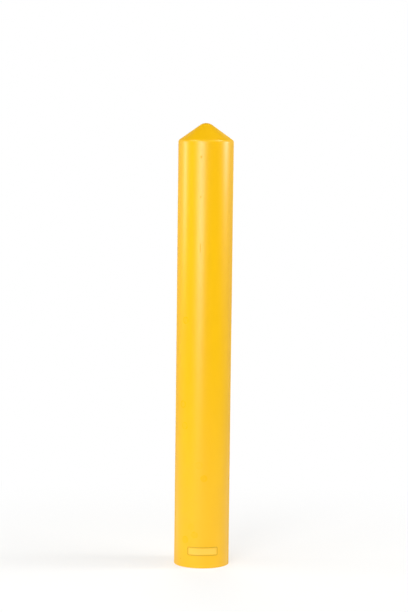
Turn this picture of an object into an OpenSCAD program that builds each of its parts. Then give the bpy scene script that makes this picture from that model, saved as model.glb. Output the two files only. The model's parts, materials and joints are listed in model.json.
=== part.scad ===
// Sleeve-type bollard cover in one piece of moulded polyethylene
// It drops over a round steel post, and its cone cap sheds rain
// Millimetres, +Z up, origin at the centre of the bottom rim, label panel towards -Y

/* [Post] */
// Outside diameter of the post that the cover drops over
post_d = 168.3; // [110:0.1:330]
// Gap between the post and the cover, all round
post_gap = 2.9; // [0.5:0.05:6]

/* [Shell] */
// Height of the cover, from the bottom rim to the tip
cover_h = 1450; // [600:1:1900]
// Thickness of the moulded wall
wall = 3.2; // [2:0.1:5]
// Slope of the cone cap, in degrees up from level
cap_slope = 35.5; // [20:0.5:45]
// Outer radius of the rounded tip
tip_r = 34.5; // [10:0.5:40]
// Outer radius of the bend between the wall and the cap
shoulder_r = 11; // [8:1:25]

/* [Rim] */
// Chamfer that takes the burr off the outer edge of the sawn rim
rim_chamfer = 0.5; // [0.2:0.1:1]
// Chamfer on the inner edge, which leads the cover onto the post
lead_in = 0.8; // [0.2:0.1:1]

/* [Label panel] */
// Width of the panel, measured straight across
panel_w = 99.5; // [40:0.5:105]
// Height of the panel
panel_h = 28; // [16:0.5:60]
// Height of the panel's lower edge above the rim
panel_rise = 41.5; // [20:0.5:200]
// Corner radius of the panel
panel_corner = 4.5; // [4.5:0.5:7.5]
// Width of the groove that frames the panel
groove_w = 2; // [0.8:0.1:2.4]
// Depth of the groove below the wall
groove_depth = 1.4; // [0.3:0.1:1.5]
// Width of the raised bead inside the groove
bead_w = 1.8; // [0.8:0.1:2]
// Depth of the panel's bare field below the bead
field_depth = 0.5; // [0.2:0.1:1.5]

/* [Hidden] */
$fn = 180;
// Room by which a cutting shape passes through what it cuts
through = 1;
// The cone's face is sunk this much below its round blends, and they reach this many
// degrees past it, so that arc and line cross cleanly where they would only touch
sunk = 0.001;
past = 3;

bore_r = post_d / 2 + post_gap;
outer_r = bore_r + wall;

// The two round blends share their centres between the outer and the inner face
// Heights in the cap count from shoulder_z, where the straight wall ends
shoulder_x = outer_r - shoulder_r;
tip_up = (shoulder_x * sin(cap_slope) + shoulder_r - tip_r) / cos(cap_slope);
shoulder_z = cover_h - tip_r - tip_up;

panel_z = panel_rise + panel_h / 2;
bead_inset = groove_w;
field_inset = groove_w + bead_w;

// Slice of a disc about [x, z], between two angles
module sector(x, z, r, from, to) {
    reach = 2 * r;
    middle = (from + to) / 2;
    translate([x, z])
        intersection() {
            circle(r);
            polygon([
                [0, 0],
                reach * [cos(from), sin(from)],
                reach * [cos(middle), sin(middle)],
                reach * [cos(to), sin(to)]
            ]);
        }
}

// Half section of the sleeve and cap, set back from the outer face by inset
// Straight lines join the points where the two round blends start and end
module half_section(inset, below = 0) {
    normal = 90 - cap_slope;
    toward_cap = [cos(normal), sin(normal)];
    shoulder = shoulder_r - inset;
    tip = tip_r - inset;
    cone_start = [shoulder_x, 0] + (shoulder - sunk) * toward_cap;
    cone_end = [0, tip_up] + (tip - sunk) * toward_cap;
    polygon([
        [0, -shoulder_z - below],
        [outer_r - inset, -shoulder_z - below],
        [outer_r - inset, 0],
        cone_start,
        cone_end,
        [0, cone_end.y]
    ]);
    sector(shoulder_x, 0, shoulder, 0, normal + past);
    sector(0, tip_up, tip, normal - past, 90);
}

// One even wall, turned about the axis
module shell() {
    translate([0, 0, shoulder_z])
        rotate_extrude()
            difference() {
                half_section(0);
                half_section(wall, below = through);
            }
}

// What the chamfers take off the inner and outer edges of the rim
module rim_chamfers() {
    rotate_extrude() {
        polygon([
            [0, -through],
            [bore_r + lead_in + through, -through],
            [bore_r - through, lead_in + through],
            [0, lead_in + through]
        ]);
        polygon([
            [outer_r - rim_chamfer - through, -through],
            [outer_r + through, -through],
            [outer_r + through, rim_chamfer + through]
        ]);
    }
}

module rounded_rectangle(w, h, r) {
    square([w - 2 * r, h], center = true);
    square([w, h - 2 * r], center = true);
    for (x = [-1, 1], y = [-1, 1])
        translate([x * (w / 2 - r), y * (h / 2 - r)])
            circle(r);
}

// The panel's outline less inset, carried forward from the axis as the mould draws
module panel_block(inset) {
    translate([0, 0, panel_z])
        rotate([90, 0, 0])
            linear_extrude(outer_r + through)
                rounded_rectangle(panel_w - 2 * inset, panel_h - 2 * inset, panel_corner - inset);
}

// The outer layer of the wall behind the panel, down to depth
module skin(depth) {
    translate([0, 0, panel_rise - through])
        difference() {
            cylinder(r = outer_r + through, h = panel_h + 2 * through);
            translate([0, 0, -through])
                cylinder(r = outer_r - depth, h = panel_h + 4 * through);
        }
}

module panel_groove() {
    intersection() {
        difference() {
            panel_block(0);
            panel_block(bead_inset);
        }
        skin(groove_depth);
    }
}

module panel_field() {
    intersection() {
        panel_block(field_inset);
        skin(field_depth);
    }
}

module cover() {
    color("#ffc71c")
        difference() {
            shell();
            rim_chamfers();
            panel_groove();
            panel_field();
        }
}

cover();
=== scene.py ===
import json
from math import cos, pi, radians, sin

import bpy
import numpy as np
from mathutils import Matrix, Vector


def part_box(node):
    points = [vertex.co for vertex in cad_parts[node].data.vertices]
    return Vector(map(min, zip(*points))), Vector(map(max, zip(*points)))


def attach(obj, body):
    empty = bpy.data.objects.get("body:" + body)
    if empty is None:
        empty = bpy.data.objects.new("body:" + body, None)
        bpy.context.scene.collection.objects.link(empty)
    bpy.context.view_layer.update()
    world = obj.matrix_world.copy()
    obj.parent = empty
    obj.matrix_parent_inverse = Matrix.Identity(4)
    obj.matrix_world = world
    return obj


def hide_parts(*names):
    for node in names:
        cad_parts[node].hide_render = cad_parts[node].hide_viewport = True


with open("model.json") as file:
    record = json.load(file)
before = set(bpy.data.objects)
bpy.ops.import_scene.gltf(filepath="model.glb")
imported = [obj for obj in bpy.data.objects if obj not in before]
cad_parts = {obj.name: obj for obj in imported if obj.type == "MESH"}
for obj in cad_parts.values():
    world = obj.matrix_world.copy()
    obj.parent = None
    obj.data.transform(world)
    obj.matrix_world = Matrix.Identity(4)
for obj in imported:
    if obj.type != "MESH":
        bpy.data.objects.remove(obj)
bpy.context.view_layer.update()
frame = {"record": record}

bl_info = {
    "name": "Bollard cover",
    "version": (1, 0, 0),
    "blender": (4, 5, 0),
    "location": "View3D > Sidebar > Bollard cover",
    "description": "Moulded polyethylene sleeve for a bollard post, and the studio it stands in",
    "category": "Object",
}

MM = 0.001
CAD_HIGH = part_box("cover")[1]
POST_BORE = next(m for m in frame["record"]["mounts"] if m["name"] == "post_bore")

# Small marks: degrees round the axis from the panel's side, then millimetres above the rim
# Those between -60 and 60 degrees are where the photograph shows them. The others are invented
# in the same kind of spread. Only the print at 61 degrees is on the photographed side, faint
# and close to its edge.
# A vent's print ends with how strong its edge is and how strong its disc is
VENT_MARKS = (
    (-44.3, 812.0, 0.95, 0.45),
    (-49.3, 537.0, 1.1, 0.1),
    (-43.8, 467.0, 0.65, 0.15),
    (-36.5, 616.0, 0.15, 0.1),
    (0.7, 297.0, 0.35, 0.65),
    (-9.6, 340.0, 0.25, 0.15),
    (-39.5, 92.0, 0.45, 0.4),
    (-17.7, 110.0, 0.15, 0.5),
    (-26.1, 136.0, 0.05, 0.2),
    (133.0, 655.0, 0.6, 0.3),
    (-118.0, 884.0, 0.3, 0.55),
    (61.0, 1010.0, 0.3, 0.15),
    (172.0, 236.0, 0.2, 0.35),
)
VENT_MARK_RADIUS = 10.5 * MM
# A speck ends with its radius in millimetres
SPECKS = (
    (-12.3, 1340.5, 4.8),
    (-12.4, 1212.3, 4.0),
    (-52.0, 26.0, 2.4),
    (104.0, 431.0, 2.4),
    (-160.0, 1120.0, 2.0),
)
SCRATCH_AZIMUTH = -11.9
SCRATCH_LOW, SCRATCH_HIGH = 1030 * MM, 1067 * MM

# Each softbox: its azimuth in degrees from the panel's side, then in metres its distance from
# the axis, the height of its lower edge, its width and its height
SOFTBOXES = {
    "front": (-21.0, 2.8, 0.62, 1.2, 1.75),
    "left": (-95.8, 2.2, 0.99, 0.3, 0.81),
    "right": (88.4, 2.2, 1.44, 0.55, 0.36),
    "high_left": (-60.0, 1.7, 2.8, 1.2, 0.8),
    "high_right": (74.0, 1.7, 2.8, 1.2, 0.8),
    "back": (180.0, 2.8, 0.8, 1.6, 1.4),
}
# Height of the point on the axis that they all face
SOFTBOX_AIM = 0.9

# The photograph's camera, fitted to the cover's outline
CAMERA_LENS = 111.47
CAMERA_DISTANCE = 6.184
CAMERA_HEIGHT = 1.3921
CAMERA_ASIDE = 0.0008
CAMERA_PITCH = radians(4.98)
CAMERA_ROLL = radians(0.67)
CAMERA_AZIMUTH = radians(2.65)


def linear_from_hex(code):
    """Turns an sRGB colour such as #ffcc00 into linear red, green, blue and alpha."""
    channels = np.array([int(code[i:i + 2], 16) for i in (1, 3, 5)]) / 255
    low = channels / 12.92
    high = ((channels + 0.055) / 1.055) ** 2.4
    return (*np.where(channels <= 0.04045, low, high).tolist(), 1.0)


def length(name, description, default):
    return bpy.props.FloatProperty(name=name, description=description, default=default, min=0,
                                   max=3, subtype="DISTANCE", unit="LENGTH", precision=5)


def colour(name, description, code):
    return bpy.props.FloatVectorProperty(name=name, description=description, size=4, min=0, max=1,
                                         default=linear_from_hex(code), subtype="COLOR")


def lamp_power(name, description, default):
    return bpy.props.FloatProperty(name=name, description=description, default=default, min=0,
                                   unit="POWER")


def light_level(name, description, default):
    return bpy.props.FloatProperty(name=name, description=description, default=default, min=0)


class CoverSizes(bpy.types.PropertyGroup):
    """Sizes of the moulded cover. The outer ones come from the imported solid."""

    height: length("Height", "From the bottom rim to the tip", CAD_HIGH.z)
    outer_radius: length("Outer radius", "Radius of the straight wall", CAD_HIGH.x)
    bore_radius: length("Bore radius", "Radius of the space for the post",
                        POST_BORE["dims"]["r_mm"] * MM)
    cap_slope: bpy.props.FloatProperty(
        name="Cap slope", description="Slope of the cone, up from level", default=radians(35.5),
        min=radians(15), max=radians(50), subtype="ANGLE", unit="ROTATION")
    tip_radius: length("Tip radius", "Radius of the rounded tip", 34.5 * MM)
    shoulder_radius: length("Shoulder radius", "Bend between the wall and the cone", 11 * MM)
    rim_chamfer: length("Rim chamfer", "Broken outer edge of the sawn rim", 0.5 * MM)
    lead_in: length("Lead-in", "Inner chamfer that guides the cover onto the post", 0.8 * MM)
    panel_width: length("Panel width", "Straight across the label panel", 99.5 * MM)
    panel_height: length("Panel height", "Height of the label panel", 28 * MM)
    panel_rise: length("Panel rise", "From the rim up to the panel", 41.5 * MM)
    panel_corner: length("Panel corner", "Corner radius of the panel", 4.5 * MM)
    groove_width: length("Groove width", "Groove that frames the panel", 2.0 * MM)
    groove_depth: length("Groove depth", "Depth of that groove", 1.4 * MM)
    bead_width: length("Bead width", "Raised bead inside the groove", 1.8 * MM)
    field_depth: length("Field depth", "Bare field below the bead", 0.5 * MM)
    wall_draft: length("Wall draft", "Width over which a step in the panel falls", 0.45 * MM)
    waviness: length("Waviness", "How far the blown wall wanders inwards", 0.4 * MM)
    seam_height: length("Seam height", "Height of the parting line", 0.12 * MM)
    seam_width: length("Seam width", "Half width of the parting line", 0.6 * MM)


class CoverColours(bpy.types.PropertyGroup):
    """Colours of the moulded plastic and its marks."""

    skin: colour("Outer skin", "Yellow of the moulded skin", "#fbc304")
    skin_deep: colour("Outer skin, deeper", "Where the pigment is a little denser", "#f8bc06")
    mark: colour("Vent marks", "Skin over a mould vent", "#eeb307")
    groove: colour("Groove", "Dust and shade in the groove round the panel", "#a87a12")
    # Painted sheen: the field's paler colour stands in for the reflection of its glossier insert
    field: colour("Panel field", "Smoother and paler skin of the bare panel", "#ffdc68")
    speck: colour("Specks", "Burnt specks and the scratch", "#a87d1c")
    inside: colour("Inner skin", "Duller skin of the bore", "#f2bb1a")
    rim: colour("Sawn rim", "Freshly cut plastic of the rim", "#f7cb4a")


class StudioSettings(bpy.types.PropertyGroup):
    """Levels of the studio's lamps and room, and the colour of its floor."""

    front_box: lamp_power("Front softbox", "Power of the one near the camera", 56.6)
    left_box: lamp_power("Left softbox", "Power of the one on the left", 11.0)
    right_box: lamp_power("Right softbox", "Power of the one on the right", 22.0)
    high_left_box: lamp_power("High left softbox", "Power of the left one above the cone", 14.8)
    high_right_box: lamp_power("High right softbox", "Power of the right one above the cone", 22.5)
    back_box: lamp_power("Back softbox", "Power of the one behind the cover", 36.0)
    backdrop: light_level("Backdrop", "Level of the backdrop behind the cover", 0.4)
    ceiling: light_level("Ceiling", "Level of the ceiling on the camera's side", 0.42)
    pit: light_level("Pit", "Level of the room straight below the cover", 1.0)
    floor: colour("Floor", "White paper of the floor", "#f4f4f2")


def add_node(tree, kind, settings=None, inputs=None):
    """Adds one node. Settings are its own values, and an input is a value or a socket to link."""
    node = tree.nodes.new(kind)
    for name, value in (settings or {}).items():
        setattr(node, name, value)
    for socket, value in (inputs or {}).items():
        if isinstance(value, bpy.types.NodeSocket):
            tree.links.new(value, node.inputs[socket])
        else:
            node.inputs[socket].default_value = value
    return node


def new_material(name):
    """An empty material and its node tree, with the output node only."""
    material = bpy.data.materials.new(name)
    material.use_nodes = True
    tree = material.node_tree
    tree.nodes.clear()
    return material, tree, add_node(tree, "ShaderNodeOutputMaterial")


def on_wall(azimuth, height, radius):
    """The point of the wall at that azimuth in degrees and height in metres."""
    turn = radians(azimuth)
    return (radius * sin(turn), -radius * cos(turn), height)


def smooth_step(value, start, end):
    """0 before start, 1 after end, and an S curve of 3t² - 2t³ between them."""
    t = np.clip((value - start) / (end - start), 0, 1)
    return t * t * (3 - 2 * t)


def spaced(start, end, step):
    """Values from start to end in equal steps close to the given one, without the last."""
    count = max(1, int(round(abs(end - start) / step)))
    return np.linspace(start, end, count, endpoint=False)


def sleeve_profile(size):
    """The closed half section as rows of radius, height, normal and region.

    It starts at the outer tip and runs down the tip's arc, the cone, the shoulder's arc and the
    wall, round the chamfered rim, and up the bore, the inner shoulder and the inner cone to the
    inner tip. An arc's point is its centre plus its radius times the normal, and a cone joins
    the ends of two arcs. The regions are 0 for the outer skin, 1 for the sawn rim and 2 for the
    inner skin.
    """
    slope_normal = pi / 2 - size.cap_slope
    shoulder_x = size.outer_radius - size.shoulder_radius
    climb = shoulder_x * sin(size.cap_slope) + size.shoulder_radius - size.tip_radius
    tip_z = size.height - size.tip_radius
    shoulder_z = tip_z - climb / cos(size.cap_slope)
    wall = size.outer_radius - size.bore_radius
    rows = []

    def arc(x, z, radius, angles, side, region):
        across, up = np.cos(angles), np.sin(angles)
        rows.append(np.stack([x + radius * across, z + radius * up, side * across, side * up,
                              np.full_like(angles, region)], axis=1))

    def line(start, end, share, normal, region):
        share = np.asarray(share, float)
        points = np.outer(1 - share, start) + np.outer(share, end)
        rows.append(np.column_stack([points, np.tile(normal, (len(share), 1)),
                                     np.full(len(share), region)]))

    def cone(tip_r, shoulder_r, share, side, region):
        normal = np.array([cos(slope_normal), sin(slope_normal)])
        top = np.array([0, tip_z]) + tip_r * normal
        foot = np.array([shoulder_x, shoulder_z]) + shoulder_r * normal
        line(top, foot, share, side * normal, region)

    arc(0, tip_z, size.tip_radius, spaced(pi / 2, slope_normal, radians(1.5))[1:], 1, 0)
    cone(size.tip_radius, size.shoulder_radius, np.linspace(0, 1, 18), 1, 0)
    arc(shoulder_x, shoulder_z, size.shoulder_radius,
        spaced(slope_normal, 0, radians(2.25))[1:], 1, 0)

    border = 6 * MM
    top = size.panel_rise + size.panel_height
    fine = 0.33 * MM
    heights = np.concatenate([
        spaced(shoulder_z, top + border, 17 * MM),
        spaced(top + border, top + MM, 1.2 * MM),
        spaced(top + MM, top - border, fine),
        spaced(top - border, size.panel_rise + border, 2.2 * MM),
        spaced(size.panel_rise + border, size.panel_rise - MM, fine),
        spaced(size.panel_rise - MM, 6 * MM, 4 * MM),
        np.array([6, 4, 2.6, 1.7, 1.15, 0.8, 0.62, 0.5]) * MM,
    ])
    rows.append(np.column_stack([
        np.full_like(heights, size.outer_radius), heights, np.ones_like(heights),
        np.zeros_like(heights), np.zeros_like(heights)]))

    chamfer, lead = size.rim_chamfer, size.lead_in
    foot = (size.outer_radius, chamfer)
    edge_out = (size.outer_radius - chamfer, 0)
    edge_in = (size.bore_radius + lead, 0)
    throat = (size.bore_radius, lead)
    line(foot, edge_out, [0.15, 0.5, 0.85], (0, 0), 1)
    line(edge_out, edge_in, [0, 0.08, 0.35, 0.65, 0.92, 1], (0, 0), 1)
    line(edge_in, throat, [0.12, 0.5, 0.88], (0, 0), 1)
    bore_heights = np.concatenate([
        np.array([0.8, 1.1, 1.8, 4, 10, 20]) * MM,
        spaced(40 * MM, shoulder_z, 40 * MM),
    ])
    rows.append(np.column_stack([
        np.full_like(bore_heights, size.bore_radius), bore_heights, -np.ones_like(bore_heights),
        np.zeros_like(bore_heights), np.full_like(bore_heights, 2)]))
    arc(shoulder_x, shoulder_z, size.shoulder_radius - wall,
        spaced(0, slope_normal, radians(4.5)), -1, 2)
    cone(size.tip_radius - wall, size.shoulder_radius - wall, np.linspace(1, 0, 9), -1, 2)
    arc(0, tip_z, size.tip_radius - wall,
        spaced(slope_normal, pi / 2, radians(3))[1:], -1, 2)
    return np.concatenate(rows)


def column_azimuths(size):
    """Azimuths of the mesh columns, closest at the panel's upright borders and the seams."""
    half = size.panel_width / 2
    # From inside the bead to just outside the groove
    border = np.arange(half - 5.2 * MM, half + 1.0 * MM, 0.36 * MM)
    border = np.arcsin(border / size.outer_radius)
    front = np.linspace(-border[0], border[0], 31)[1:-1]
    seam = np.array([0, 0.3, 0.6, 0.9, 1.25, 1.7, 2.4, 3.6]) * MM / size.outer_radius
    seam = np.concatenate([-seam[:0:-1], seam])
    between = np.linspace(border[-1], pi / 2 + seam[0], 28)[1:-1]
    behind = np.linspace(pi / 2 + seam[-1], 3 * pi / 2 + seam[0], 88)[1:-1]
    return np.concatenate([front, border, between, pi / 2 + seam, behind,
                           3 * pi / 2 + seam, 2 * pi - between[::-1], 2 * pi - border[::-1]])


def panel_relief(size, across, up):
    """Shares from 0 to 1 of the panel's groove and of its field, across and up from its middle.

    The distance inside a rounded rectangle is its corner radius less the distance from the
    rectangle that the corner circles' centres span. The groove starts at its edge, the bead
    follows it inwards, and the field lies inside the bead. Each step is an S curve.
    """
    core_x = np.abs(across) - (size.panel_width / 2 - size.panel_corner)
    core_z = np.abs(up) - (size.panel_height / 2 - size.panel_corner)
    past = np.hypot(np.maximum(core_x, 0), np.maximum(core_z, 0))
    inside = size.panel_corner - past - np.minimum(np.maximum(core_x, core_z), 0)
    draft = size.wall_draft
    lip = 0.3 * MM
    bead_start = size.groove_width
    bead_end = size.groove_width + size.bead_width
    groove = smooth_step(inside, 0, draft) - smooth_step(inside, bead_start - draft, bead_start)
    field = smooth_step(inside, bead_end - lip, bead_end + draft)
    return groove, field


def skin_offset(size, azimuth, radius, height):
    """How far the moulded skin lies inside the drawn form, and the panel's two shares there.

    The wall wanders inwards by a sum of four slow sine waves round and along the cover. All of
    the skin but the parting line, in the plane of y = 0, lies a seam height inside, and the line
    stands up from it as a bell curve. The panel's relief comes on top, on the front side.
    """
    waves = (np.sin(2 * azimuth + 6 * height + 1.3)
             + 0.6 * np.sin(3 * azimuth - 13 * height - 0.7)
             + 0.4 * np.sin(5 * azimuth + 9 * height + 2.2)
             + 0.5 * np.sin(azimuth + 17 * height))
    calm = smooth_step(height, 15 * MM, 160 * MM)
    calm = calm * (1 - smooth_step(height, size.height - 200 * MM, size.height - 60 * MM))
    wander = size.waviness * (0.5 + 0.2 * waves) * calm
    across = radius * np.sin(azimuth)
    depth = radius * np.cos(azimuth)
    seam = size.seam_height * (1 - np.exp(-(depth / size.seam_width) ** 2))
    groove, field = panel_relief(size, across, height - size.panel_rise - size.panel_height / 2)
    groove, field = groove * (depth > 0), field * (depth > 0)
    return wander + seam + size.groove_depth * groove + size.field_depth * field, groove, field


def closed_mesh(name, tip, grid, end, regions):
    """A mesh from a grid of rings between two poles, with faces that point outwards."""
    ring_count, column_count = grid.shape[:2]
    points = np.concatenate([tip[None], grid.reshape(-1, 3), end[None]])
    ring = np.arange(ring_count)[:, None] * column_count + 1
    here = ring + np.arange(column_count)
    beside = ring + np.roll(np.arange(column_count), -1)
    quads = np.stack([here[:-1], here[1:], beside[1:], beside[:-1]], axis=-1).reshape(-1, 4)
    start_fan = np.column_stack([np.zeros(column_count, int), here[0], beside[0]])
    last = np.full(column_count, len(points) - 1)
    end_fan = np.column_stack([here[-1], last, beside[-1]])
    corners = np.concatenate([start_fan.ravel(), quads.ravel(), end_fan.ravel()])
    sizes = np.concatenate([np.full(column_count, 3), np.full(len(quads), 4),
                            np.full(column_count, 3)])
    starts = np.concatenate([[0], np.cumsum(sizes)[:-1]])
    # A face between the rim and one of the skins is the rim's
    face_regions = np.concatenate([
        np.full(column_count, regions[0]),
        np.repeat(np.maximum(regions[:-1], regions[1:] * (regions[1:] < 2)), column_count),
        np.full(column_count, regions[-1])])
    mesh = bpy.data.meshes.new(name)
    mesh.vertices.add(len(points))
    mesh.vertices.foreach_set("co", points.astype(np.float32).ravel())
    mesh.loops.add(len(corners))
    mesh.loops.foreach_set("vertex_index", corners.astype(np.int32))
    mesh.polygons.add(len(sizes))
    mesh.polygons.foreach_set("loop_start", starts.astype(np.int32))
    mesh.polygons.foreach_set("material_index", face_regions.astype(np.int32))
    mesh.update(calc_edges=True)
    mesh.validate()
    mesh.shade_smooth()
    return mesh


def cover_mesh(size):
    """Turns the profile about the axis: x = r sin a and y = -r cos a, less the skin's offset."""
    profile = sleeve_profile(size)
    radius, height, normal_r, normal_z, region = profile.T
    azimuth = column_azimuths(size)
    turn, radius_grid = np.meshgrid(azimuth, radius)
    height_grid = np.repeat(height[:, None], len(azimuth), axis=1)
    offset, groove, field = skin_offset(size, turn, radius_grid, height_grid)
    outside = (region == 0)[:, None]
    radius_grid = radius_grid - offset * outside * normal_r[:, None]
    height_grid = height_grid - offset * outside * normal_z[:, None]
    grid = np.stack([radius_grid * np.sin(turn), -radius_grid * np.cos(turn), height_grid], -1)
    wall = size.outer_radius - size.bore_radius
    tip = np.array([0, 0, size.height])
    inner_tip = np.array([0, 0, size.height - wall])
    mesh = closed_mesh("moulded_cover", tip, grid, inner_tip, region.astype(int))
    for name, share in (("panel_groove", groove), ("panel_field", field)):
        values = np.concatenate([[0], (share * outside).ravel(), [0]])
        layer = mesh.attributes.new(name, "FLOAT", "POINT")
        layer.data.foreach_set("value", values.astype(np.float32))
    return mesh


def vent_print(tree, place, centre, edge_share, disc_share):
    """Share of the round print of one mould vent: a soft disc with a firmer edge."""
    away = add_node(tree, "ShaderNodeVectorMath", {"operation": "DISTANCE"}, {
        0: place, 1: centre}).outputs["Value"]
    past_edge = add_node(tree, "ShaderNodeMath", {"operation": "SUBTRACT"}, {
        0: away, 1: VENT_MARK_RADIUS}).outputs["Value"]
    edge_away = add_node(tree, "ShaderNodeMath", {"operation": "ABSOLUTE"}, {
        0: past_edge}).outputs["Value"]
    edge = add_node(tree, "ShaderNodeMapRange", {"interpolation_type": "SMOOTHSTEP"}, {
        "Value": edge_away, "From Min": 0.0, "From Max": 3.5 * MM, "To Min": edge_share,
        "To Max": 0.0}).outputs["Result"]
    disc = add_node(tree, "ShaderNodeMapRange", {"interpolation_type": "SMOOTHSTEP"}, {
        "Value": past_edge, "From Min": -3.0 * MM, "From Max": 2.5 * MM, "To Min": disc_share,
        "To Max": 0.0}).outputs["Result"]
    return add_node(tree, "ShaderNodeMath", {"operation": "ADD"}, {
        0: edge, 1: disc}).outputs["Value"]


def moulded_polyethylene(colours, size):
    """Outer skin of high-density polyethylene, blown against a fine blasted mould.

    To the eye it is satin with broad soft highlights, an even warm yellow with slow cloudy
    streaks along the sleeve, faint round prints of the mould's vents and a very fine pebble.
    """
    # How much of its colour each kind of mark takes on. The field's pale colour is a painted sheen
    print_tint, speck_tint, field_painted_sheen = 0.15, 0.3, 0.4
    material, tree, output = new_material("moulded_polyethylene_skin")
    place = add_node(tree, "ShaderNodeTexCoord").outputs["Object"]

    # Pigment clouds about 90 mm wide, drawn out along the sleeve by the blowing
    drawn = add_node(tree, "ShaderNodeMapping", inputs={
        "Vector": place, "Scale": (1, 1, 0.22)}).outputs["Vector"]
    clouds = add_node(tree, "ShaderNodeTexNoise", inputs={
        "Vector": drawn, "Scale": 11.0, "Detail": 3.0, "Roughness": 0.5}).outputs["Fac"]
    cloud_share = add_node(tree, "ShaderNodeMapRange", inputs={
        "Value": clouds, "From Min": 0.35, "From Max": 0.7, "To Min": 0.0, "To Max": 0.6})
    # Fine grain of 2.5 mm, several times coarser than the real one so that it shows at all
    grain = add_node(tree, "ShaderNodeTexNoise", inputs={
        "Vector": place, "Scale": 400.0, "Detail": 2.0, "Roughness": 0.6}).outputs["Fac"]

    skin = add_node(tree, "ShaderNodeMix", {"data_type": "RGBA"}, {
        "Factor": cloud_share.outputs["Result"], "A": colours.skin, "B": colours.skin_deep})
    skin_colour = skin.outputs["Result"]

    # Round prints of the mould's vents, which are matt and a little browner, in patches about
    # 11 mm across
    prints = None
    for azimuth, height, edge_share, disc_share in VENT_MARKS:
        centre = on_wall(azimuth, height * MM, size.outer_radius)
        one = vent_print(tree, place, centre, edge_share, disc_share)
        if prints is None:
            prints = one
        else:
            prints = add_node(tree, "ShaderNodeMath", {"operation": "MAXIMUM"}, {
                0: prints, 1: one}).outputs["Value"]
    patchy = add_node(tree, "ShaderNodeTexNoise", inputs={
        "Vector": place, "Scale": 90.0, "Detail": 1.0}).outputs["Fac"]
    patches = add_node(tree, "ShaderNodeMapRange", inputs={
        "Value": patchy, "From Min": 0.3, "From Max": 0.7, "To Min": 0.55,
        "To Max": 1.45}).outputs["Result"]
    print_share = add_node(tree, "ShaderNodeMath", {"operation": "MULTIPLY"}, {
        0: prints, 1: patches}).outputs["Value"]
    print_fade = add_node(tree, "ShaderNodeMath", {"operation": "MULTIPLY"}, {
        0: print_share, 1: print_tint}).outputs["Value"]
    marked = add_node(tree, "ShaderNodeMix", {"data_type": "RGBA"}, {
        "Factor": print_fade, "A": skin_colour, "B": colours.mark})

    # Burnt specks, and one thin upright scratch above the middle of the front
    dark = None
    for azimuth, height, radius in SPECKS:
        centre = on_wall(azimuth, height * MM, size.outer_radius)
        away = add_node(tree, "ShaderNodeVectorMath", {"operation": "DISTANCE"}, {
            0: place, 1: centre}).outputs["Value"]
        speck = add_node(tree, "ShaderNodeMapRange", {"interpolation_type": "SMOOTHSTEP"}, {
            "Value": away, "From Min": radius * MM * 0.4, "From Max": radius * MM, "To Min": 1.0,
            "To Max": 0.0}).outputs["Result"]
        if dark is None:
            dark = speck
        else:
            dark = add_node(tree, "ShaderNodeMath", {"operation": "MAXIMUM"}, {
                0: dark, 1: speck}).outputs["Value"]
    level = add_node(tree, "ShaderNodeSeparateXYZ", inputs={"Vector": place}).outputs["Z"]
    flat = add_node(tree, "ShaderNodeVectorMath", {"operation": "MULTIPLY"}, {
        0: place, 1: (1, 1, 0)}).outputs["Vector"]
    beside = add_node(tree, "ShaderNodeVectorMath", {"operation": "DISTANCE"}, {
        0: flat, 1: on_wall(SCRATCH_AZIMUTH, 0, size.outer_radius)}).outputs["Value"]
    scratch_width = add_node(tree, "ShaderNodeMapRange", {"interpolation_type": "SMOOTHSTEP"}, {
        "Value": beside, "From Min": 0.4 * MM, "From Max": 2.0 * MM, "To Min": 0.85,
        "To Max": 0.0}).outputs["Result"]
    middle = (SCRATCH_LOW + SCRATCH_HIGH) / 2
    along = add_node(tree, "ShaderNodeMath", {"operation": "SUBTRACT"}, {
        0: level, 1: middle}).outputs["Value"]
    along_away = add_node(tree, "ShaderNodeMath", {"operation": "ABSOLUTE"}, {
        0: along}).outputs["Value"]
    scratch_length = add_node(tree, "ShaderNodeMapRange", {"interpolation_type": "SMOOTHSTEP"}, {
        "Value": along_away, "From Min": (SCRATCH_HIGH - middle) * 0.6,
        "From Max": SCRATCH_HIGH - middle, "To Min": 1.0, "To Max": 0.0}).outputs["Result"]
    scratch = add_node(tree, "ShaderNodeMath", {"operation": "MULTIPLY"}, {
        0: scratch_width, 1: scratch_length}).outputs["Value"]
    dark = add_node(tree, "ShaderNodeMath", {"operation": "MAXIMUM"}, {
        0: dark, 1: scratch}).outputs["Value"]
    dark_share = add_node(tree, "ShaderNodeMath", {"operation": "MULTIPLY"}, {
        0: dark, 1: speck_tint}).outputs["Value"]
    spotted = add_node(tree, "ShaderNodeMix", {"data_type": "RGBA"}, {
        "Factor": dark_share, "A": marked.outputs["Result"], "B": colours.speck})

    # The panel: a paler bare field, its paleness a painted sheen of the glossier insert, and dust
    # with painted shade in the groove round it
    field = add_node(tree, "ShaderNodeAttribute", {
        "attribute_name": "panel_field"}).outputs["Fac"]
    groove = add_node(tree, "ShaderNodeAttribute", {
        "attribute_name": "panel_groove"}).outputs["Fac"]
    # Painted sheen: the field's paler colour stands in for the glossier insert's reflection
    field_share = add_node(tree, "ShaderNodeMath", {"operation": "MULTIPLY"}, {
        0: field, 1: field_painted_sheen}).outputs["Value"]
    pale = add_node(tree, "ShaderNodeMix", {"data_type": "RGBA"}, {
        "Factor": field_share, "A": spotted.outputs["Result"], "B": colours.field})
    # The groove's darker colour is partly dust and partly painted shade, where the groove's own
    # shade falls
    groove_dust_and_shade = add_node(tree, "ShaderNodeMath", {"operation": "MULTIPLY_ADD"}, {
        0: patchy, 1: 0.4, 2: 0.45}).outputs["Value"]
    groove_share = add_node(tree, "ShaderNodeMath", {"operation": "MULTIPLY"}, {
        0: groove, 1: groove_dust_and_shade}).outputs["Value"]
    finished = add_node(tree, "ShaderNodeMix", {"data_type": "RGBA"}, {
        "Factor": groove_share, "A": pale.outputs["Result"], "B": colours.groove})

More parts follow.
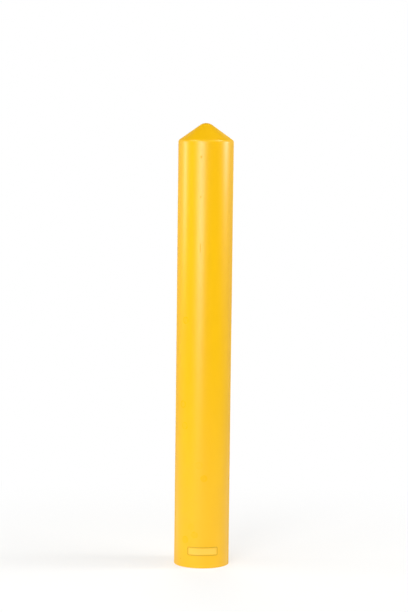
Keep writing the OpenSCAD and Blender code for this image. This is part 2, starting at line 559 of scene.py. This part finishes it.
    # Satin from the blasted mould. The prints, the specks and the scratch are matt, and the tiny
    # pits that make them so also swallow about two thirds of their gloss.
    gloss = add_node(tree, "ShaderNodeMapRange", inputs={
        "Value": clouds, "From Min": 0.3, "From Max": 0.7, "To Min": 0.345, "To Max": 0.385})
    matt = add_node(tree, "ShaderNodeMath", {"operation": "ADD", "use_clamp": True}, {
        0: print_share, 1: dark}).outputs["Value"]
    satin = add_node(tree, "ShaderNodeMath", {"operation": "MULTIPLY_ADD"}, {
        0: matt, 1: 0.1, 2: gloss.outputs["Result"]}).outputs["Value"]
    # At a shallow angle the grains of the blasted skin stand in each other's way and scatter
    # the light, so the edges take no mirror-like line from a lamp beyond them
    facing = add_node(tree, "ShaderNodeLayerWeight", inputs={"Blend": 0.5}).outputs["Facing"]
    scatter = add_node(tree, "ShaderNodeMapRange", {"interpolation_type": "SMOOTHSTEP"}, {
        "Value": facing, "From Min": 0.6, "From Max": 0.85, "To Min": 0.0,
        "To Max": 0.35}).outputs["Result"]
    roughness = add_node(tree, "ShaderNodeMath", {"operation": "ADD"}, {
        0: satin, 1: scatter}).outputs["Value"]
    gloss_level = add_node(tree, "ShaderNodeMath", {"operation": "MULTIPLY_ADD"}, {
        0: matt, 1: -0.34, 2: 0.5}).outputs["Value"]

    pebble = add_node(tree, "ShaderNodeBump", inputs={
        "Height": grain, "Strength": 1.0, "Distance": 0.02 * MM})
    vents = add_node(tree, "ShaderNodeBump", inputs={
        "Height": print_share, "Strength": 1.0, "Distance": 0.06 * MM,
        "Normal": pebble.outputs["Normal"]})
    shader = add_node(tree, "ShaderNodeBsdfPrincipled", inputs={
        "Base Color": finished.outputs["Result"], "Roughness": roughness, "IOR": 1.54,
        "Specular IOR Level": gloss_level, "Normal": vents.outputs["Normal"]})
    tree.links.new(shader.outputs["BSDF"], output.inputs["Surface"])
    return material


def sawn_polyethylene(colours):
    """Rim of the same plastic cut with a saw: paler, dull, and scored in one direction."""
    material, tree, output = new_material("sawn_polyethylene_rim")
    place = add_node(tree, "ShaderNodeTexCoord").outputs["Object"]
    # Saw scores about 5 mm apart, several times coarser than real ones, which wouldn't show
    scores = add_node(tree, "ShaderNodeTexWave", {"bands_direction": "X"}, {
        "Vector": place, "Scale": 60.0, "Distortion": 3.0, "Detail": 2.0}).outputs["Fac"]
    tone = add_node(tree, "ShaderNodeMix", {"data_type": "RGBA"}, {
        "Factor": scores, "A": colours.rim, "B": colours.skin})
    rough = add_node(tree, "ShaderNodeMapRange", inputs={
        "Value": scores, "To Min": 0.5, "To Max": 0.65})
    bump = add_node(tree, "ShaderNodeBump", inputs={
        "Height": scores, "Strength": 1.0, "Distance": 0.05 * MM})
    shader = add_node(tree, "ShaderNodeBsdfPrincipled", inputs={
        "Base Color": tone.outputs["Result"], "Roughness": rough.outputs["Result"],
        "IOR": 1.54, "Normal": bump.outputs["Normal"]})
    tree.links.new(shader.outputs["BSDF"], output.inputs["Surface"])
    return material


def blown_polyethylene(colours):
    """Inner skin that only touched air: duller, with slow ripples and no mould texture."""
    material, tree, output = new_material("blown_polyethylene_bore")
    place = add_node(tree, "ShaderNodeTexCoord").outputs["Object"]
    # Ripples about 25 mm apart, drawn out along the sleeve
    drawn = add_node(tree, "ShaderNodeMapping", inputs={
        "Vector": place, "Scale": (1, 1, 0.3)}).outputs["Vector"]
    ripples = add_node(tree, "ShaderNodeTexNoise", inputs={
        "Vector": drawn, "Scale": 40.0, "Detail": 3.0, "Roughness": 0.55}).outputs["Fac"]
    tone = add_node(tree, "ShaderNodeMix", {"data_type": "RGBA"}, {
        "Factor": ripples, "A": colours.inside, "B": colours.skin_deep})
    rough = add_node(tree, "ShaderNodeMapRange", inputs={
        "Value": ripples, "To Min": 0.45, "To Max": 0.6})
    bump = add_node(tree, "ShaderNodeBump", inputs={
        "Height": ripples, "Strength": 1.0, "Distance": 0.4 * MM})
    shader = add_node(tree, "ShaderNodeBsdfPrincipled", inputs={
        "Base Color": tone.outputs["Result"], "Roughness": rough.outputs["Result"],
        "IOR": 1.54, "Normal": bump.outputs["Normal"]})
    tree.links.new(shader.outputs["BSDF"], output.inputs["Surface"])
    return material


def seen_as_background(tree):
    """1 for the rays that look at a background, from the camera or by way of metal or glass."""
    path = add_node(tree, "ShaderNodeLightPath")
    seen = path.outputs["Is Camera Ray"]
    for kind in ("Is Glossy Ray", "Is Transmission Ray"):
        seen = add_node(tree, "ShaderNodeMath", {"operation": "MAXIMUM"}, {
            0: seen, 1: path.outputs[kind]}).outputs["Value"]
    return seen


def paper_floor(settings):
    """Matt white paper. It looks white all round and keeps a soft part of the cover's shadow."""
    material, tree, output = new_material("white_paper_floor")
    place = add_node(tree, "ShaderNodeTexCoord").outputs["Object"]
    # Paper grain of 4.5 mm, far coarser than real fibres so that it shows at all
    fibres = add_node(tree, "ShaderNodeTexNoise", inputs={
        "Vector": place, "Scale": 220.0, "Detail": 2.0}).outputs["Fac"]
    bump = add_node(tree, "ShaderNodeBump", inputs={
        "Height": fibres, "Strength": 0.3, "Distance": 0.05 * MM})
    paper = add_node(tree, "ShaderNodeBsdfDiffuse", inputs={
        "Color": settings.floor, "Normal": bump.outputs["Normal"]})
    white = add_node(tree, "ShaderNodeEmission", inputs={"Strength": 1.0})
    reach = add_node(tree, "ShaderNodeVectorMath", {"operation": "LENGTH"}, {
        0: place}).outputs["Value"]
    # The shadow's part is 0.45 up to 0.4 m from the axis and fades out by 1.6 m
    white_share = add_node(tree, "ShaderNodeMapRange", {"interpolation_type": "SMOOTHSTEP"}, {
        "Value": reach, "From Min": 0.4, "From Max": 1.6, "To Min": 0.55, "To Max": 1.0})
    share = add_node(tree, "ShaderNodeMath", {"operation": "MULTIPLY"}, {
        0: white_share.outputs["Result"], 1: seen_as_background(tree)}).outputs["Value"]
    mixed = add_node(tree, "ShaderNodeMixShader", inputs={
        0: share, 1: paper.outputs["BSDF"], 2: white.outputs["Emission"]})
    # From below the paper isn't there, so that the open end can be looked into
    clear = add_node(tree, "ShaderNodeBsdfTransparent")
    below = add_node(tree, "ShaderNodeNewGeometry").outputs["Backfacing"]
    sided = add_node(tree, "ShaderNodeMixShader", inputs={
        0: below, 1: mixed.outputs["Shader"], 2: clear.outputs["BSDF"]})
    tree.links.new(sided.outputs["Shader"], output.inputs["Surface"])
    return material


def studio_world(settings):
    """A plain grey room, seen as white wherever it is the background."""
    world = bpy.data.worlds.new("studio_room")
    world.use_nodes = True
    tree = world.node_tree
    tree.nodes.clear()
    direction = add_node(tree, "ShaderNodeTexCoord").outputs["Generated"]
    parts = add_node(tree, "ShaderNodeSeparateXYZ", inputs={"Vector": direction})
    # The backdrop lights the cover from behind, and the ceiling from the camera's side. The wall
    # on that side is dark. The backdrop sweeps down past the floor's far edge, and below it all
    # is dark but the pit. The floor keeps the pit from all but the inside of the cover, which it
    # lets one look into.
    around = add_node(tree, "ShaderNodeMapRange", inputs={
        "Value": parts.outputs["Y"], "From Min": -0.3, "From Max": 0.3,
        "To Min": 0.0, "To Max": settings.backdrop}).outputs["Result"]
    overhead = add_node(tree, "ShaderNodeMapRange", inputs={
        "Value": parts.outputs["Z"], "From Min": 0.45, "From Max": 0.6}).outputs["Result"]
    ceiling = add_node(tree, "ShaderNodeMapRange", inputs={
        "Value": parts.outputs["Y"], "From Min": -0.05, "From Max": 0.15,
        "To Min": settings.ceiling, "To Max": 0.0}).outputs["Result"]
    sweep = add_node(tree, "ShaderNodeMapRange", inputs={
        "Value": parts.outputs["Z"], "From Min": -0.45, "From Max": -0.41}).outputs["Result"]
    pit = add_node(tree, "ShaderNodeMapRange", inputs={
        "Value": parts.outputs["Z"], "From Min": -0.61, "From Max": -0.57,
        "To Min": settings.pit, "To Max": 0.0}).outputs["Result"]
    walls = add_node(tree, "ShaderNodeMix", {"data_type": "FLOAT"}, {
        "Factor": overhead, "A": around, "B": ceiling}).outputs["Result"]
    level = add_node(tree, "ShaderNodeMath", {"operation": "MULTIPLY_ADD"}, {
        0: walls, 1: sweep, 2: pit}).outputs["Value"]
    room = add_node(tree, "ShaderNodeBackground", inputs={
        "Color": (1, 1, 1, 1), "Strength": level})
    white = add_node(tree, "ShaderNodeBackground", inputs={
        "Color": (1, 1, 1, 1), "Strength": 1.0})
    path = add_node(tree, "ShaderNodeLightPath")
    # The white backdrop hangs behind the cover, so a mirror or a glass shows it only there
    backdrop = add_node(tree, "ShaderNodeMapRange", {"interpolation_type": "SMOOTHSTEP"}, {
        "Value": parts.outputs["Y"], "From Min": 0.8, "From Max": 0.95}).outputs["Result"]
    mirrored = add_node(tree, "ShaderNodeMath", {"operation": "MAXIMUM"}, {
        0: path.outputs["Is Glossy Ray"], 1: path.outputs["Is Transmission Ray"]})
    mirrored = add_node(tree, "ShaderNodeMath", {"operation": "MULTIPLY"}, {
        0: mirrored.outputs["Value"], 1: backdrop}).outputs["Value"]
    seen = add_node(tree, "ShaderNodeMath", {"operation": "MAXIMUM"}, {
        0: path.outputs["Is Camera Ray"], 1: mirrored}).outputs["Value"]
    mixed = add_node(tree, "ShaderNodeMixShader", inputs={
        0: seen, 1: room.outputs["Background"], 2: white.outputs["Background"]})
    add_node(tree, "ShaderNodeOutputWorld", inputs={"Surface": mixed.outputs["Shader"]})
    return world


def floor_mesh():
    """A flat disc of rings: x = r cos t and y = r sin t, with r from 0.09 to 2.2 m.

    Its hole ends under the rim's outer chamfer, where no side shows it. It lets one look at the
    rim and into the open end from below.
    """
    turn = np.linspace(0, 2 * pi, 96, endpoint=False)
    reach = np.array([0.09, 0.12, 0.3, 0.8, 1.5, 2.2])
    grid = np.stack([np.outer(reach, np.cos(turn)), np.outer(reach, np.sin(turn)),
                     np.zeros((len(reach), len(turn)))], -1)
    here = (np.arange(len(reach))[:, None] * len(turn)) + np.arange(len(turn))
    beside = np.roll(here, -1, axis=1)
    quads = np.stack([here[:-1], here[1:], beside[1:], beside[:-1]], -1).reshape(-1, 4)
    mesh = bpy.data.meshes.new("studio_floor")
    mesh.from_pydata(grid.reshape(-1, 3).tolist(), [], quads.tolist())
    mesh.update()
    return mesh


def softbox(name, azimuth, distance, lowest, width, height, watts):
    """An upright softbox that faces the axis, with its place given as in SOFTBOXES."""
    lamp = bpy.data.lights.new(name, "AREA")
    lamp.shape = "RECTANGLE"
    lamp.size = width
    lamp.size_y = height
    lamp.energy = watts
    box = bpy.data.objects.new(name, lamp)
    box.location = on_wall(azimuth, lowest + height / 2, distance)
    towards = Vector((0, 0, SOFTBOX_AIM)) - box.location
    box.rotation_euler = towards.to_track_quat("-Z", "Y").to_euler()
    box.visible_camera = False
    bpy.context.scene.collection.objects.link(box)
    return box


def photograph_camera():
    """The photograph's camera: level axes first, then its roll, then its turn round the axis."""
    camera = bpy.data.objects.new("photograph_camera", bpy.data.cameras.new("photograph_camera"))
    camera.data.lens = CAMERA_LENS
    camera.data.sensor_width = 36
    ahead = Vector((0, cos(CAMERA_PITCH), -sin(CAMERA_PITCH)))
    level_right = Vector((1, 0, 0))
    level_up = Vector((0, sin(CAMERA_PITCH), cos(CAMERA_PITCH)))
    right = cos(CAMERA_ROLL) * level_right + sin(CAMERA_ROLL) * level_up
    up = cos(CAMERA_ROLL) * level_up - sin(CAMERA_ROLL) * level_right
    axes = Matrix((right, up, -ahead)).transposed().to_4x4()
    place = Matrix.Translation((-CAMERA_ASIDE, -CAMERA_DISTANCE, CAMERA_HEIGHT))
    camera.matrix_world = Matrix.Rotation(-CAMERA_AZIMUTH, 4, "Z") @ place @ axes
    bpy.context.scene.collection.objects.link(camera)
    bpy.context.scene.camera = camera


class BOLLARD_OT_mould_cover(bpy.types.Operator):
    """Mould the one-piece cover, with its cone cap and bare label panel"""

    bl_idname = "bollard.mould_cover"
    bl_label = "Mould the cover"

    def execute(self, context):
        size = context.scene.cover_sizes
        colours = context.scene.cover_colours
        cover = bpy.data.objects.new("moulded_cover", cover_mesh(size))
        context.scene.collection.objects.link(cover)
        cover.data.materials.append(moulded_polyethylene(colours, size))
        cover.data.materials.append(sawn_polyethylene(colours))
        cover.data.materials.append(blown_polyethylene(colours))
        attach(cover, "root")
        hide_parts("cover")
        return {"FINISHED"}


class BOLLARD_OT_set_studio(bpy.types.Operator):
    """Set the floor, the plain room, the six softboxes and the camera"""

    bl_idname = "bollard.set_studio"
    bl_label = "Set the studio"

    def execute(self, context):
        settings = context.scene.studio_settings
        floor = bpy.data.objects.new("studio_floor", floor_mesh())
        floor.data.materials.append(paper_floor(settings))
        context.scene.collection.objects.link(floor)
        context.scene.world = studio_world(settings)
        for name, place in SOFTBOXES.items():
            box = softbox(name + "_softbox", *place, getattr(settings, name + "_box"))
            # The back one lights the back evenly, and puts no bright line on the front's edges
            box.visible_glossy = name != "back"
        context.scene.view_settings.view_transform = "Standard"
        photograph_camera()
        return {"FINISHED"}


class BOLLARD_PT_sidebar(bpy.types.Panel):
    """Sizes, colours and levels, with a button for each piece."""

    bl_idname = "BOLLARD_PT_sidebar"
    bl_label = "Bollard cover"
    bl_space_type = "VIEW_3D"
    bl_region_type = "UI"
    bl_category = "Bollard cover"

    def draw(self, context):
        scene = context.scene
        for group in (scene.cover_sizes, scene.cover_colours, scene.studio_settings):
            box = self.layout.box()
            for name in group.__annotations__:
                box.prop(group, name)
        self.layout.operator(BOLLARD_OT_mould_cover.bl_idname)
        self.layout.operator(BOLLARD_OT_set_studio.bl_idname)


CLASSES = (CoverSizes, CoverColours, StudioSettings, BOLLARD_OT_mould_cover,
           BOLLARD_OT_set_studio, BOLLARD_PT_sidebar)


def register():
    for each in CLASSES:
        bpy.utils.register_class(each)
    bpy.types.Scene.cover_sizes = bpy.props.PointerProperty(type=CoverSizes)
    bpy.types.Scene.cover_colours = bpy.props.PointerProperty(type=CoverColours)
    bpy.types.Scene.studio_settings = bpy.props.PointerProperty(type=StudioSettings)


def unregister():
    del bpy.types.Scene.studio_settings
    del bpy.types.Scene.cover_colours
    del bpy.types.Scene.cover_sizes
    for each in reversed(CLASSES):
        bpy.utils.unregister_class(each)


def main():
    register()
    bpy.ops.bollard.mould_cover()
    bpy.ops.bollard.set_studio()
    bpy.context.view_layer.update()


if __name__ == "__main__":
    main()
